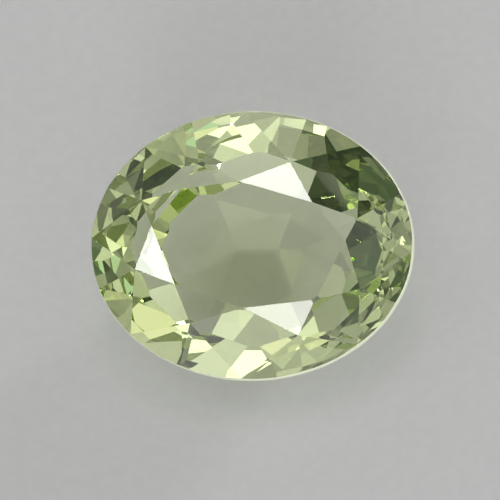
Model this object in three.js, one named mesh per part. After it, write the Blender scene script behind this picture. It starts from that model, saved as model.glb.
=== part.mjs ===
import * as THREE from 'three';

// An oval cut stone with a brilliant crown over a step-cut pavilion, lying on its longest low facet.
// Millimetres. The stone is worked out in its own frame: the middle of the girdle is z = 0, the
// length runs along x, and the table looks up +z. It is turned onto its resting facet at the end.

const halfLength = 3.5;
const halfWidth = 2.9;
const girdleHeight = 0.24;
const girdleSides = 120;
const crownHeight = 0.95;

// The eight crown mains, counter-clockwise from the right-hand end.
// corner: the table corner that the facet reaches. tip: where it meets the girdle, in degrees
// round the oval. turn: how far it faces off the oval's own direction there, in degrees.
// star: how high up the crown it meets the next main, as a share of the crown's height.
const crownMains = [
  { corner: [2.18, 0.0], tip: -3, turn: 0, star: 0.85 },
  { corner: [1.45, 0.82], tip: 48, turn: 4, star: 0.71 },
  { corner: [-0.14, 1.27], tip: 93, turn: -4, star: 0.71 },
  { corner: [-1.36, 1.11], tip: 132, turn: -6, star: 0.81 },
  { corner: [-2.01, 0.32], tip: 177, turn: 1, star: 0.77 },
  { corner: [-1.48, -0.94], tip: 222, turn: 1, star: 0.73 },
  { corner: [0.01, -1.44], tip: 267, turn: -2, star: 0.68 },
  { corner: [1.55, -1.26], tip: 312, turn: -2, star: 0.73 },
];

// The pavilion's tiers from the girdle down. Each facet leaves the tier above it at the same
// distance in from the oval all the way round, so the tiers close on a short keel.
// sides: facets in the tier. inset and depth: how far in from the oval and how far below the
// girdle the tier ends. first: the direction of its first facet, in degrees.
const pavilionTiers = [
  { sides: 24, inset: 0.5, depth: 0.55, first: 0 },
  { sides: 12, inset: 1.5, depth: 1.58, first: 15 },
  { sides: 8, inset: 2.9, depth: 2.08, first: 0 },
];

const tableLevel = girdleHeight / 2 + crownHeight;
const crownEdge = girdleHeight / 2;
const pavilionEdge = -girdleHeight / 2;

// A cut takes off what lies outside its plane, so its normal points out of the stone.
const touching = 1e-7;

function onOval(degrees, z) {
  const angle = THREE.MathUtils.degToRad(degrees);
  return new THREE.Vector3(halfLength * Math.cos(angle), halfWidth * Math.sin(angle), z);
}

// The direction in plan that the oval faces at a point given round it.
function ovalFacing(degrees) {
  const angle = THREE.MathUtils.degToRad(degrees);
  return Math.atan2(Math.sin(angle) / halfWidth, Math.cos(angle) / halfLength);
}

// How far the oval reaches from the centre in a direction in plan.
function ovalReach(angle) {
  return Math.hypot(halfLength * Math.cos(angle), halfWidth * Math.sin(angle));
}

function planeThrough(a, b, c) {
  const plane = new THREE.Plane().setFromCoplanarPoints(a, b, c);
  return plane.constant > 0 ? plane.negate() : plane;
}

// A plane through two points that faces a given direction in plan.
function planeFacing(direction, high, low) {
  const out = new THREE.Vector3(Math.cos(direction), Math.sin(direction), 0);
  const drop = new THREE.Vector3().subVectors(low, high);
  const normal = out.clone().multiplyScalar(-drop.z);
  normal.z = drop.dot(out);
  return new THREE.Plane().setFromNormalAndCoplanarPoint(normal.normalize(), high);
}

// Where two facets meet at a given height.
function meetingPoint(first, second, z) {
  const level = new THREE.Plane(new THREE.Vector3(0, 0, 1), -z);
  const planes = [first, second, level];
  const rows = planes.map((plane) => plane.normal.toArray()).flat();
  const inverse = new THREE.Matrix3().set(...rows).invert();
  return new THREE.Vector3(...planes.map((plane) => -plane.constant)).applyMatrix3(inverse);
}

function girdleCuts() {
  const cuts = [];
  const step = 360 / girdleSides;
  for (let side = 0; side < girdleSides; side++) {
    const a = onOval(side * step, 0);
    const b = onOval((side + 1) * step, 0);
    cuts.push(planeThrough(a, b, new THREE.Vector3(a.x, a.y, 1)));
  }
  return cuts;
}

function crownCuts() {
  const mains = crownMains.map((main) => {
    const corner = new THREE.Vector3(...main.corner, tableLevel);
    const tip = onOval(main.tip, crownEdge);
    const direction = ovalFacing(main.tip) + THREE.MathUtils.degToRad(main.turn);
    return { ...main, corner, tip, angle: main.tip, plane: planeFacing(direction, corner, tip) };
  });
  const cuts = [new THREE.Plane(new THREE.Vector3(0, 0, 1), -tableLevel)];
  mains.forEach((main, index) => {
    const next = mains[(index + 1) % mains.length];
    const nextAngle = index + 1 < mains.length ? next.angle : next.angle + 360;
    const point = meetingPoint(main.plane, next.plane, crownEdge + main.star * crownHeight);
    const between = onOval((main.angle + nextAngle) / 2, crownEdge);
    cuts.push(main.plane);
    cuts.push(planeThrough(main.corner, next.corner, point));
    cuts.push(planeThrough(point, main.tip, between));
    cuts.push(planeThrough(point, between, next.tip));
  });
  return cuts;
}

function pavilionCuts() {
  const cuts = [];
  let inset = 0;
  let depth = 0;
  for (const tier of pavilionTiers) {
    const slope = Math.atan2(tier.depth - depth, tier.inset - inset);
    for (let side = 0; side < tier.sides; side++) {
      const direction = THREE.MathUtils.degToRad(tier.first + (360 * side) / tier.sides);
      const reach = ovalReach(direction) - inset;
      const start = new THREE.Vector3(
        reach * Math.cos(direction), reach * Math.sin(direction), pavilionEdge - depth);
      const normal = new THREE.Vector3(
        Math.sin(slope) * Math.cos(direction), Math.sin(slope) * Math.sin(direction), -Math.cos(slope));
      cuts.push(new THREE.Plane().setFromNormalAndCoplanarPoint(normal, start));
    }
    inset = tier.inset;
    depth = tier.depth;
  }
  return cuts;
}

// The rough block that the facets are cut from, as six polygons that run counter-clockwise.
function roughBlock() {
  const size = halfLength * 1.2;
  const faces = [];
  for (const axis of [0, 1, 2]) {
    for (const side of [1, -1]) {
      const corners = [[1, 1], [-1, 1], [-1, -1], [1, -1]].map(([u, v]) => {
        const point = new THREE.Vector3();
        point.setComponent(axis, side * size);
        point.setComponent((axis + 1) % 3, u * size);
        point.setComponent((axis + 2) % 3, v * size);
        return point;
      });
      faces.push(side > 0 ? corners : corners.reverse());
    }
  }
  return faces;
}

// Trims one polygon by a cut. The points made on the cut are added to rim.
function trimFace(face, cut, rim) {
  const kept = [];
  face.forEach((point, index) => {
    const next = face[(index + 1) % face.length];
    const here = cut.distanceToPoint(point);
    const there = cut.distanceToPoint(next);
    if (here <= touching) kept.push(point);
    if (Math.abs(here) <= touching) rim.push(point);
    if (Math.min(here, there) < -touching && Math.max(here, there) > touching) {
      const crossing = point.clone().lerp(next, here / (here - there));
      kept.push(crossing);
      rim.push(crossing);
    }
  });
  const solid = kept.some((point) => cut.distanceToPoint(point) < -touching);
  return solid && kept.length > 2 ? kept : null;
}

// The new facet: the rim's points, once each, in order round the cut's normal.
function closeCut(rim, cut) {
  const points = [];
  for (const point of rim) {
    if (!points.some((other) => other.distanceTo(point) < 1e-5)) points.push(point);
  }
  const middle = points.reduce((sum, point) => sum.add(point), new THREE.Vector3());
  middle.divideScalar(points.length);
  const across = new THREE.Vector3().subVectors(points[0], middle).normalize();
  const along = new THREE.Vector3().crossVectors(cut.normal, across);
  const turnOf = (point) => {
    const arm = new THREE.Vector3().subVectors(point, middle);
    return Math.atan2(arm.dot(along), arm.dot(across));
  };
  return points.sort((a, b) => turnOf(a) - turnOf(b));
}

function grind(faces, cut) {
  const outside = faces.flat().some((point) => cut.distanceToPoint(point) > touching);
  if (!outside) return faces;
  const rim = [];
  const left = faces.map((face) => trimFace(face, cut, rim)).filter((face) => face);
  left.push(closeCut(rim, cut));
  return left;
}

function facetGeometry(faces) {
  const positions = [];
  for (const face of faces) {
    for (let index = 1; index + 1 < face.length; index++) {
      for (const point of [face[0], face[index], face[index + 1]]) positions.push(...point.toArray());
    }
  }
  const geometry = new THREE.BufferGeometry();
  geometry.setAttribute('position', new THREE.Float32BufferAttribute(positions, 3));
  geometry.computeVertexNormals();
  return geometry;
}

function sapphireMesh() {
  const cuts = [...girdleCuts(), ...crownCuts(), ...pavilionCuts()];
  const faces = cuts.reduce(grind, roughBlock());
  const material = new THREE.MeshStandardMaterial({ color: 0x9fae7c, roughness: 0.03, metalness: 0 });
  const mesh = new THREE.Mesh(facetGeometry(faces), material);
  mesh.name = 'sapphire';
  return mesh;
}

const sapphire = sapphireMesh();
const stone = new THREE.Group();
stone.add(sapphire);

// Turned until the lowest tier's front facet is level, then set down with that facet on z = 0.
const lowest = pavilionTiers[pavilionTiers.length - 1];
const above = pavilionTiers[pavilionTiers.length - 2];
const lowSlope = Math.atan2(lowest.depth - above.depth, lowest.inset - above.inset);
sapphire.rotation.x = lowSlope;
sapphire.updateMatrixWorld(true);
const box = new THREE.Box3().setFromObject(sapphire, true);
const middle = box.getCenter(new THREE.Vector3());
sapphire.position.set(-middle.x, -middle.y, -box.min.z);

export default stone;
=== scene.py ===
import bmesh
import bpy
import math
from mathutils import Matrix, Vector


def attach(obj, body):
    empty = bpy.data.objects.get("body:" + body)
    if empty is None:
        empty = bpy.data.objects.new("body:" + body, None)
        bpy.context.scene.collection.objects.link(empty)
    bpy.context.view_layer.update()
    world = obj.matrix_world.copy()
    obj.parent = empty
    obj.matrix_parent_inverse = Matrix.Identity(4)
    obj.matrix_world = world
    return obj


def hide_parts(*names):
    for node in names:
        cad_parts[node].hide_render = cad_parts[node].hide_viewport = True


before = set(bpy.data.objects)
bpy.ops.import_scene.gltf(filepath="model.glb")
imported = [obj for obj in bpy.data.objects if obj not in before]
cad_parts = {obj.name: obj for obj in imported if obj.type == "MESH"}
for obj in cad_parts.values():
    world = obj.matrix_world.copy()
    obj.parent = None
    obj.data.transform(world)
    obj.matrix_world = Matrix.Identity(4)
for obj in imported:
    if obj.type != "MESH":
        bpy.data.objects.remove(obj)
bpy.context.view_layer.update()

scene = bpy.context.scene
mm = 0.001

# A cut stone needs many turns inside before light finds its way out
lightPaths = {
    "bounces": 32,
    "brightestSample": 12.0,
}

scene.cycles.max_bounces = lightPaths["bounces"]
scene.cycles.glossy_bounces = lightPaths["bounces"]
scene.cycles.transmission_bounces = lightPaths["bounces"]
scene.cycles.sample_clamp_indirect = lightPaths["brightestSample"]
scene.view_settings.view_transform = "Standard"


# The cut stone: the solid's facets as clean flat polygons, their junctions rounded a little by
# polishing. Only the solid's corners are taken, so that no facet keeps a smoothed normal.
cutStone = {
    "junctionWidth": 0.010 * mm,
    "junctionSteps": 2,
    "flatWithin": math.radians(0.3),
    "mergeWithin": 0.0005 * mm,
    "cutWithin": 0.00005 * mm,
    "girdleUpright": 0.02,  # how far a girdle facet may lean off the table's square
    "rimWidth": 0.030 * mm,  # the crown's edge of the girdle is ground rounder than the rest
    "rimSteps": 3,
    "evenRound": 0.5,  # the bevel's profile for a plain round edge
}

# The stone's three finishes, in the order of its material slots
polished, ground, rubbed = 0, 1, 2


def facetedBody():
    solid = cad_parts["sapphire"].data
    body = bmesh.new()
    corners = [body.verts.new(vertex.co) for vertex in solid.vertices]
    for side in solid.polygons:
        body.faces.new([corners[index] for index in side.vertices])
    bmesh.ops.remove_doubles(body, verts=body.verts, dist=cutStone["mergeWithin"])
    bmesh.ops.dissolve_limit(
        body, angle_limit=cutStone["flatWithin"], verts=body.verts, edges=body.edges
    )
    bmesh.ops.recalc_face_normals(body, faces=body.faces)
    return body


# Along the stone's length, across it, and out through its table, which is its largest facet
def findStoneAxes(body):
    table = max(body.faces, key=lambda face: face.calc_area())
    up = table.normal.copy()
    along = (Vector((1, 0, 0)) - up * up.x).normalized()
    return along, up.cross(along), up


def girdleCentre(body, axes):
    corners = set()
    for face in body.faces:
        if face.material_index == ground:
            corners.update(face.verts)
    centre = Vector()
    for axis in axes:
        reach = [corner.co.dot(axis) for corner in corners]
        centre += axis * (min(reach) + max(reach)) / 2
    return centre


# A small chip is knocked off the table's corner towards the picture's lower right
chip = {
    "towards": (0.57, -0.82),  # along and across the stone
    "lean": math.radians(22),
    "depth": 0.015 * mm,
}


def knockChip(body, axes):
    along, across, up = axes
    table = max(body.faces, key=lambda face: face.calc_area())
    outward = along * chip["towards"][0] + across * chip["towards"][1]
    corner = max(table.verts, key=lambda vertex: vertex.co.dot(outward)).co
    facing = up * math.cos(chip["lean"]) + outward * math.sin(chip["lean"])
    cut = bmesh.ops.bisect_plane(
        body,
        geom=[*body.verts, *body.edges, *body.faces],
        dist=cutStone["cutWithin"],
        plane_co=corner - facing * chip["depth"],
        plane_no=facing,
        clear_outer=True,
    )
    openEdges = [item for item in cut["geom_cut"] if isinstance(item, bmesh.types.BMEdge)]
    scar = bmesh.ops.contextual_create(body, geom=openEdges)["faces"]
    for face in scar:
        face.material_index = rubbed
    print("chip knocked off, sides:", [len(face.verts) for face in scar])


def edgeFinishes(edge):
    return {face.material_index for face in edge.link_faces}


def roundEdges(body, edges, width, steps, finish):
    return bmesh.ops.bevel(
        body,
        geom=edges,
        offset=width,
        segments=steps,
        profile=cutStone["evenRound"],
        affect="EDGES",
        clamp_overlap=True,
        material=finish,
    )["faces"]


# The edge between the girdle and the crown, ground round with the girdle
def roundRim(body, centre, axes):
    rim = []
    for edge in body.edges:
        middle = (edge.verts[0].co + edge.verts[1].co) / 2
        above = (middle - centre).dot(axes[2]) > 0
        if above and edgeFinishes(edge) == {polished, ground}:
            rim.append(edge)
    rounded = roundEdges(body, rim, cutStone["rimWidth"], cutStone["rimSteps"], ground)
    print("rim rounded, edges:", len(rim), "new faces:", len(rounded))


# Every edge but those between one part of the ground girdle and the next
def roundJunctions(body):
    junctions = [edge for edge in body.edges if edgeFinishes(edge) - {ground}]
    roundEdges(body, junctions, cutStone["junctionWidth"] / 2, cutStone["junctionSteps"], rubbed)
    print("junctions rounded, edges:", len(junctions))


def makeCutStone():
    body = facetedBody()
    axes = findStoneAxes(body)
    for face in body.faces:
        upright = abs(face.normal.dot(axes[2])) < cutStone["girdleUpright"]
        face.material_index = ground if upright else polished
    centre = girdleCentre(body, axes)
    knockChip(body, axes)
    roundRim(body, centre, axes)
    roundJunctions(body)
    mesh = bpy.data.meshes.new("cutStone")
    body.to_mesh(mesh)
    body.free()
    piece = bpy.data.objects.new("cutStone", mesh)
    scene.collection.objects.link(piece)
    return piece, axes, centre


# The colour comes from what the crystal takes out of the light passing through it
sapphire = {
    "ior": 1.77,
    "tint": (0.68, 0.86, 0.00),
    "depth": 95.0,  # per metre, taken out of the blue
}


def newSapphire(name):
    material = bpy.data.materials.new(name)
    material.use_nodes = True
    tree = material.node_tree
    shader = tree.nodes["Principled BSDF"]
    shader.inputs["Base Color"].default_value = (1, 1, 1, 1)
    shader.inputs["Transmission Weight"].default_value = 1.0
    shader.inputs["IOR"].default_value = sapphire["ior"]
    absorb = tree.nodes.new("ShaderNodeVolumeAbsorption")
    absorb.inputs["Color"].default_value = (*sapphire["tint"], 1)
    absorb.inputs["Density"].default_value = sapphire["depth"]
    tree.links.new(absorb.outputs["Volume"], tree.nodes["Material Output"].inputs["Volume"])
    return material, tree, shader


# Noise in the piece's own coordinates. Grain is the size of its grains, or one size for each axis.
def addNoise(tree, grain, detail=2.0, rough=0.5):
    sizes = Vector(grain) if isinstance(grain, tuple) else Vector((grain, grain, grain))
    coords = tree.nodes.new("ShaderNodeTexCoord")
    spread = tree.nodes.new("ShaderNodeMapping")
    spread.inputs["Scale"].default_value = [1 / size for size in sizes]
    noise = tree.nodes.new("ShaderNodeTexNoise")
    noise.inputs["Scale"].default_value = 1.0
    noise.inputs["Detail"].default_value = detail
    noise.inputs["Roughness"].default_value = rough
    tree.links.new(coords.outputs["Object"], spread.inputs["Vector"])
    tree.links.new(spread.outputs["Vector"], noise.inputs["Vector"])
    return noise.outputs["Fac"]


def remap(tree, value, fromLow, fromHigh, toLow, toHigh):
    node = tree.nodes.new("ShaderNodeMapRange")
    node.interpolation_type = "SMOOTHSTEP"
    node.inputs["From Min"].default_value = fromLow
    node.inputs["From Max"].default_value = fromHigh
    node.inputs["To Min"].default_value = toLow
    node.inputs["To Max"].default_value = toHigh
    tree.links.new(value, node.inputs["Value"])
    return node.outputs["Result"]


def mixColours(tree, share, first, second):
    mix = tree.nodes.new("ShaderNodeMix")
    mix.data_type = "RGBA"
    tree.links.new(share, mix.inputs["Factor"])
    for name, colour in (("A", first), ("B", second)):
        if isinstance(colour, bpy.types.NodeSocket):
            tree.links.new(colour, mix.inputs[name])
        else:
            mix.inputs[name].default_value = colour
    return mix.outputs["Result"]


# A bump laid over whatever bump the shader already has
def addBump(tree, shader, height, depth, strength):
    bump = tree.nodes.new("ShaderNodeBump")
    bump.inputs["Strength"].default_value = strength
    bump.inputs["Distance"].default_value = depth
    tree.links.new(height, bump.inputs["Height"])
    for below in shader.inputs["Normal"].links:
        tree.links.new(below.from_socket, bump.inputs["Normal"])
    tree.links.new(bump.outputs["Normal"], shader.inputs["Normal"])


# Polished facets: smooth, with a slight change of polish from place to place, hairline drag marks,
# and the faint swell that the polishing wheel leaves in every flat
polish = {
    "swellGrain": 1.4 * mm,
    "swellDepth": 0.0020 * mm,
    "swellStrength": 1.0,
    "cloudGrain": 0.9 * mm,
    "cloudSpan": (0.45, 0.75),
    "cloudRough": (0.0, 0.012),
    "dragGrain": (0.9 * mm, 0.018 * mm, 0.5 * mm),
    "dragDepth": 0.00002 * mm,
    "dragStrength": 0.25,
}


def polishedFacets():
    material, tree, shader = newSapphire("polishedSapphire")
    cloud = addNoise(tree, polish["cloudGrain"], detail=3.0)
    rough = remap(tree, cloud, *polish["cloudSpan"], *polish["cloudRough"])
    tree.links.new(rough, shader.inputs["Roughness"])
    drag = addNoise(tree, polish["dragGrain"], detail=1.0)
    addBump(tree, shader, drag, polish["dragDepth"], polish["dragStrength"])
    swell = addNoise(tree, polish["swellGrain"], detail=0.0)
    addBump(tree, shader, swell, polish["swellDepth"], polish["swellStrength"])
    return material


# The girdle is ground, not polished: frosted, with grinding marks round it and a few shiny spots
girdle = {
    "frostGrain": 0.05 * mm,
    "frostSpan": (0.3, 0.7),
    "frost": (0.35, 0.60),
    "clear": 0.25,  # the rest of the light is scattered by the ground surface
    "scatter": (0.96, 1.0, 0.78),  # and takes this colour
    "markGrain": (0.12 * mm, 0.12 * mm, 0.02 * mm),
    "markDepth": 0.003 * mm,
    "markStrength": 0.6,
}


def groundGirdle():
    material, tree, shader = newSapphire("groundSapphire")
    shader.inputs["Transmission Weight"].default_value = girdle["clear"]
    shader.inputs["Base Color"].default_value = (*girdle["scatter"], 1)
    frost = addNoise(tree, girdle["frostGrain"], detail=3.0)
    rough = remap(tree, frost, *girdle["frostSpan"], *girdle["frost"])
    tree.links.new(rough, shader.inputs["Roughness"])
    marks = addNoise(tree, girdle["markGrain"], detail=3.0, rough=0.6)
    addBump(tree, shader, marks, girdle["markDepth"], girdle["markStrength"])
    return material


# The junctions between facets are rubbed a little, more in some stretches than in others
wear = {
    "stretch": 0.5 * mm,
    "stretchSpan": (0.35, 0.65),
    "rub": (0.05, 0.3),
    "chipGrain": 0.03 * mm,
    "chipDepth": 0.002 * mm,
    "chipStrength": 0.5,
}


def wornJunctions():
    material, tree, shader = newSapphire("rubbedSapphire")
    rub = addNoise(tree, wear["stretch"], detail=3.0)
    rough = remap(tree, rub, *wear["stretchSpan"], *wear["rub"])
    tree.links.new(rough, shader.inputs["Roughness"])
    chips = addNoise(tree, wear["chipGrain"], detail=2.0)
    addBump(tree, shader, chips, wear["chipDepth"], wear["chipStrength"])
    return material


piece, stoneAxes, stoneCentre = makeCutStone()
for makeMaterial in (polishedFacets, groundGirdle, wornJunctions):
    piece.data.materials.append(makeMaterial())
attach(piece, "root")
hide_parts("sapphire")
print("stone made, facets:", len(piece.data.polygons))


# The floor lies a hair under the stone, so that the facet it rests on keeps its own back
floor = {
    "size": 2.0,
    "gap": 0.02 * mm,
    "colour": (0.69, 0.69, 0.71),
    "fleckColour": (0.67, 0.67, 0.69),
    "fleckGrain": 0.25 * mm,
    "fleckSpan": (0.35, 0.65),
    "roughness": 0.8,
    "lit": (0.098, 0.098, 0.090),  # the card is opal and lit a little from below
}


def paperCard():
    material = bpy.data.materials.new("paperCard")
    material.use_nodes = True
    tree = material.node_tree
    shader = tree.nodes["Principled BSDF"]
    shader.inputs["Roughness"].default_value = floor["roughness"]
    shader.inputs["Emission Color"].default_value = (*floor["lit"], 1)
    shader.inputs["Emission Strength"].default_value = 1.0
    fleck = addNoise(tree, floor["fleckGrain"], detail=3.0)
    share = remap(tree, fleck, *floor["fleckSpan"], 0, 1)
    card = mixColours(tree, share, (*floor["colour"], 1), (*floor["fleckColour"], 1))
    tree.links.new(card, shader.inputs["Base Color"])
    return material


def makeFloor():
    half = floor["size"] / 2
    mesh = bpy.data.meshes.new("floor")
    corners = [(-half, -half), (half, -half), (half, half), (-half, half)]
    mesh.from_pydata([(x, y, -floor["gap"]) for x, y in corners], [], [(0, 1, 2, 3)])
    mesh.materials.append(paperCard())
    card = bpy.data.objects.new("floor", mesh)
    scene.collection.objects.link(card)


makeFloor()
print("floor laid")


# The camera leans a little off the table's own square, towards the right and the near side
camera = {
    "alongLean": 0.158,
    "acrossLean": -0.102,
    "distance": 150 * mm,
    "frameWidth": 10.72 * mm,
    "aim": (-0.045 * mm, -0.09 * mm),  # how far right of the girdle's centre it looks, and above it
    "sees": (0.01, 10.0),  # nearest and farthest
}


def findViewAxes():
    along, across, up = stoneAxes
    lean = math.hypot(camera["alongLean"], camera["acrossLean"])
    towards = along * camera["alongLean"] + across * camera["acrossLean"]
    towards += up * math.sqrt(1 - lean * lean)
    right = (along - towards * along.dot(towards)).normalized()
    return right, towards.cross(right), towards


viewRight, viewUp, viewBack = findViewAxes()


def makeCamera():
    data = bpy.data.cameras.new("camera")
    data.lens = data.sensor_width * camera["distance"] / camera["frameWidth"]
    data.clip_start, data.clip_end = camera["sees"]
    eye = bpy.data.objects.new("camera", data)
    scene.collection.objects.link(eye)
    target = stoneCentre + viewRight * camera["aim"][0] + viewUp * camera["aim"][1]
    place = Matrix((viewRight, viewUp, viewBack)).transposed().to_4x4()
    place.translation = target + viewBack * camera["distance"]
    eye.matrix_world = place
    scene.camera = eye


makeCamera()
print("camera placed")


# The studio is a tent of white cloth with lamps behind it and gaps between its panels.
# A patch's turn runs from the picture's right towards its top, its lean is from the line of
# sight, its spread is half the angle it covers, and a later patch lies over an earlier one.
# The seven lamps come last: three that the crown's facets mirror as white flashes, and four
# low ones that light the ground rim.
studio = {
    "fold": (0.05, 0.06, 0.055),  # the cloth's glow in its deepest folds
    "lit": (0.66, 0.66, 0.65),  # and where the lamps reach it best
    "foldSize": 0.25,
    "foldSpan": (0.35, 0.65),
    "backdrop": (0.47, 0.47, 0.475),
    "hues": {"plain": (1.0, 1.0, 1.0), "warm": (1.0, 0.96, 0.84), "cool": (0.78, 1.0, 0.86)},
    "patches": [
        {"turn": -160, "lean": 72, "spread": 21, "edge": 14, "glow": 0.04, "hue": "cool"},
        {"turn": 180, "lean": 80, "spread": 16, "edge": 10, "glow": 0.04, "hue": "cool"},
        {"turn": 174, "lean": 96, "spread": 14, "edge": 8, "glow": 0.10, "hue": "cool"},
        {"turn": 175, "lean": 65, "spread": 5, "edge": 4, "glow": 0.40, "hue": "plain"},
        {"turn": -174, "lean": 38, "spread": 6, "edge": 4, "glow": 0.04, "hue": "cool"},
        {"turn": -165, "lean": 31, "spread": 4, "edge": 3, "glow": 0.12, "hue": "cool"},
        {"turn": 64, "lean": 70, "spread": 15, "edge": 8, "glow": 0.03, "hue": "cool"},
        {"turn": 53, "lean": 68, "spread": 3, "edge": 2, "glow": 1.50, "hue": "plain"},
        {"turn": 165, "lean": 38, "spread": 7, "edge": 5, "glow": 0.05, "hue": "cool"},
        {"turn": -12, "lean": 50, "spread": 11, "edge": 6, "glow": 0.04, "hue": "cool"},
        {"turn": 16, "lean": 38, "spread": 5, "edge": 4, "glow": 0.18, "hue": "plain"},
        {"turn": 50, "lean": 28, "spread": 7, "edge": 4, "glow": 0.10, "hue": "plain"},
        {"turn": 142, "lean": 102, "spread": 15, "edge": 8, "glow": 0.35, "hue": "plain"},
        {"turn": 147, "lean": 22, "spread": 4, "edge": 4, "glow": 0.05, "hue": "plain"},
        {"turn": -104, "lean": 32, "spread": 16, "edge": 8, "glow": 1.35, "hue": "plain"},
        {"turn": -94, "lean": 38, "spread": 4, "edge": 4, "glow": 0.25, "hue": "cool"},
        {"turn": -144, "lean": 48, "spread": 7, "edge": 5, "glow": 0.12, "hue": "cool"},
        {"turn": -143, "lean": 45, "spread": 3.5, "edge": 3, "glow": 0.38, "hue": "plain"},
        {"turn": -122, "lean": 31.5, "spread": 2.5, "edge": 2, "glow": 0.55, "hue": "plain"},
        {"turn": -82, "lean": 56, "spread": 8, "edge": 5, "glow": 1.30, "hue": "warm"},
        {"turn": -24, "lean": 29, "spread": 5, "edge": 4, "glow": 0.60, "hue": "warm"},
        {"turn": -13, "lean": 41, "spread": 3, "edge": 2, "glow": 0.80, "hue": "plain"},
        {"turn": -48, "lean": 34, "spread": 5, "edge": 4, "glow": 0.65, "hue": "plain"},
        {"turn": -63, "lean": 27, "spread": 6, "edge": 5, "glow": 0.80, "hue": "cool"},
        {"turn": 110, "lean": 38, "spread": 14, "edge": 8, "glow": 0.45, "hue": "plain"},
        {"turn": 118, "lean": 35, "spread": 5, "edge": 4, "glow": 1.65, "hue": "plain"},
        {"turn": 82, "lean": 33, "spread": 8, "edge": 4, "glow": 0.80, "hue": "plain"},
        {"turn": 136, "lean": 50, "spread": 7, "edge": 5, "glow": 0.95, "hue": "warm"},
        {"turn": 138, "lean": 65, "spread": 9, "edge": 5, "glow": 0.90, "hue": "warm"},
        {"turn": -63, "lean": 60, "spread": 7, "edge": 4, "glow": 0.80, "hue": "plain"},
        {"turn": -113, "lean": 60, "spread": 13, "edge": 6, "glow": 1.30, "hue": "plain"},
        {"turn": 96, "lean": 92, "spread": 8, "edge": 5, "glow": 0.45, "hue": "plain"},
        {"turn": 93, "lean": 82, "spread": 5, "edge": 4, "glow": 0.82, "hue": "plain"},
        {"turn": 38, "lean": 82, "spread": 9, "edge": 5, "glow": 1.50, "hue": "plain"},
        {"turn": 28, "lean": 53, "spread": 7, "edge": 4, "glow": 1.05, "hue": "warm"},
        {"turn": 35, "lean": 38, "spread": 3, "edge": 3, "glow": 0.62, "hue": "plain"},
        {"turn": -35, "lean": 46, "spread": 5, "edge": 4, "glow": 0.80, "hue": "plain"},
        {"turn": 59, "lean": 104, "spread": 9, "edge": 6, "glow": 0.80, "hue": "plain"},
        {"turn": 54, "lean": 92, "spread": 4, "edge": 3, "glow": 0.15, "hue": "plain"},
        {"turn": 107, "lean": 103, "spread": 9, "edge": 6, "glow": 0.60, "hue": "plain"},
        {"turn": 17, "lean": 28, "spread": 4, "edge": 3, "glow": 1.20, "hue": "plain"},
        {"turn": -4, "lean": 75, "spread": 8, "edge": 5, "glow": 0.70, "hue": "warm"},
        {"turn": -168, "lean": 54.5, "spread": 2, "edge": 2, "glow": 0.30, "hue": "plain"},
        {"turn": -119, "lean": 35.5, "spread": 2.5, "edge": 2, "glow": 0.75, "hue": "plain"},
        {"turn": -27, "lean": 39, "spread": 2.5, "edge": 2, "glow": 0.15, "hue": "cool"},
        {"turn": -178, "lean": 76, "spread": 7, "edge": 4, "glow": 0.11, "hue": "cool"},
        {"turn": -149, "lean": 40.5, "spread": 1.5, "edge": 1.5, "glow": 1.00, "hue": "plain"},
        {"turn": -152, "lean": 51.5, "spread": 2, "edge": 2, "glow": 0.26, "hue": "plain"},
        {"turn": -160, "lean": 48, "spread": 2, "edge": 1.5, "glow": 1.90, "hue": "plain"},
        {"turn": 151, "lean": 53, "spread": 3, "edge": 3, "glow": 0.52, "hue": "plain"},
        {"turn": 118, "lean": 100, "spread": 3, "edge": 3, "glow": 0.95, "hue": "plain"},
        {"turn": 169, "lean": 20, "spread": 4, "edge": 4, "glow": 0.40, "hue": "plain"},
        {"turn": 25, "lean": 42, "spread": 3, "edge": 3, "glow": 0.66, "hue": "plain"},
        {"turn": 139, "lean": 45.5, "spread": 2.5, "edge": 2, "glow": 0.60, "hue": "plain"},
        {"turn": -59, "lean": 58.5, "spread": 2.5, "edge": 2, "glow": 0.30, "hue": "plain"},
        {"turn": -38, "lean": 38, "spread": 3.5, "edge": 3, "glow": 0.58, "hue": "plain"},
        {"turn": -93, "lean": 8.5, "spread": 3, "edge": 3, "glow": 0.36, "hue": "plain"},
        {"turn": -89, "lean": 32, "spread": 3, "edge": 3, "glow": 1.75, "hue": "plain"},
        {"turn": -114, "lean": 29.5, "spread": 2, "edge": 2, "glow": 1.65, "hue": "plain"},
        {"turn": -80, "lean": 27, "spread": 2.5, "edge": 2, "glow": 1.65, "hue": "plain"},
        {"turn": -9.5, "lean": 42.5, "spread": 2, "edge": 2, "glow": 1.15, "hue": "plain"},
        {"turn": 96, "lean": 53, "spread": 3.5, "edge": 1.5, "glow": 8.0, "hue": "plain"},
        {"turn": -179, "lean": 50.4, "spread": 2.5, "edge": 1.5, "glow": 9.5, "hue": "plain"},
        {"turn": -109, "lean": 38, "spread": 3.5, "edge": 1.5, "glow": 7.0, "hue": "plain"},
        {"turn": -88, "lean": 58, "spread": 5, "edge": 3, "glow": 36, "hue": "plain"},
        {"turn": -36, "lean": 65, "spread": 4.5, "edge": 3, "glow": 30, "hue": "plain"},
        {"turn": 2, "lean": 80, "spread": 4, "edge": 3, "glow": 24, "hue": "plain"},
        {"turn": 45, "lean": 92, "spread": 5, "edge": 3, "glow": 35, "hue": "plain"},
    ],
}


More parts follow.
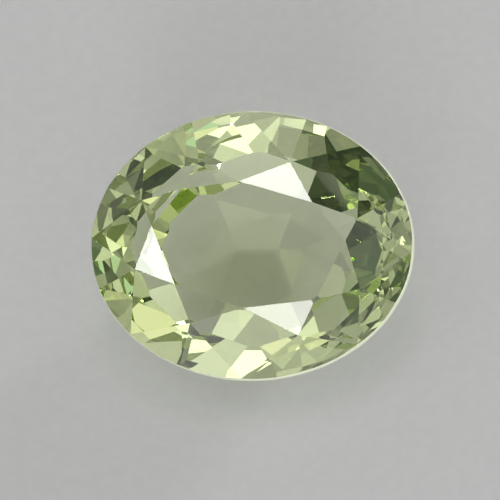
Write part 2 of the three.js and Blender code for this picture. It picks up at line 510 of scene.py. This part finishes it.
def patchDirection(patch):
    turn, lean = math.radians(patch["turn"]), math.radians(patch["lean"])
    side = viewRight * math.cos(turn) + viewUp * math.sin(turn)
    return viewBack * math.cos(lean) + side * math.sin(lean)


def patchColour(patch):
    return [patch["glow"] * part for part in studio["hues"][patch["hue"]]] + [1]


# One patch laid over the glow so far, within its spread of its own direction
def layPatch(tree, direction, glow, patch):
    closeness = tree.nodes.new("ShaderNodeVectorMath")
    closeness.operation = "DOT_PRODUCT"
    closeness.inputs[1].default_value = patchDirection(patch)
    tree.links.new(direction, closeness.inputs[0])
    outer = math.cos(math.radians(patch["spread"] + patch["edge"] / 2))
    inner = math.cos(math.radians(patch["spread"] - patch["edge"] / 2))
    within = remap(tree, closeness.outputs["Value"], outer, inner, 0, 1)
    return mixColours(tree, within, glow, patchColour(patch))


# Seen straight by the camera the tent is a plain pale backdrop
def makeStudio():
    world = bpy.data.worlds.new("studio")
    scene.world = world
    world.use_nodes = True
    tree = world.node_tree
    direction = tree.nodes.new("ShaderNodeTexCoord").outputs["Generated"]
    folds = tree.nodes.new("ShaderNodeTexNoise")
    folds.inputs["Scale"].default_value = 1 / studio["foldSize"]
    folds.inputs["Detail"].default_value = 2.0
    tree.links.new(direction, folds.inputs["Vector"])
    depth = remap(tree, folds.outputs["Fac"], *studio["foldSpan"], 0, 1)
    glow = mixColours(tree, depth, (*studio["fold"], 1), (*studio["lit"], 1))
    for patch in studio["patches"]:
        glow = layPatch(tree, direction, glow, patch)
    tent = tree.nodes["Background"]
    tree.links.new(glow, tent.inputs["Color"])
    plain = tree.nodes.new("ShaderNodeBackground")
    plain.inputs["Color"].default_value = (*studio["backdrop"], 1)
    choose = tree.nodes.new("ShaderNodeMixShader")
    path = tree.nodes.new("ShaderNodeLightPath")
    tree.links.new(path.outputs["Is Camera Ray"], choose.inputs["Fac"])
    tree.links.new(tent.outputs["Background"], choose.inputs[1])
    tree.links.new(plain.outputs["Background"], choose.inputs[2])
    tree.links.new(choose.outputs["Shader"], tree.nodes["World Output"].inputs["Surface"])


makeStudio()
print("studio hung, patches:", len(studio["patches"]))
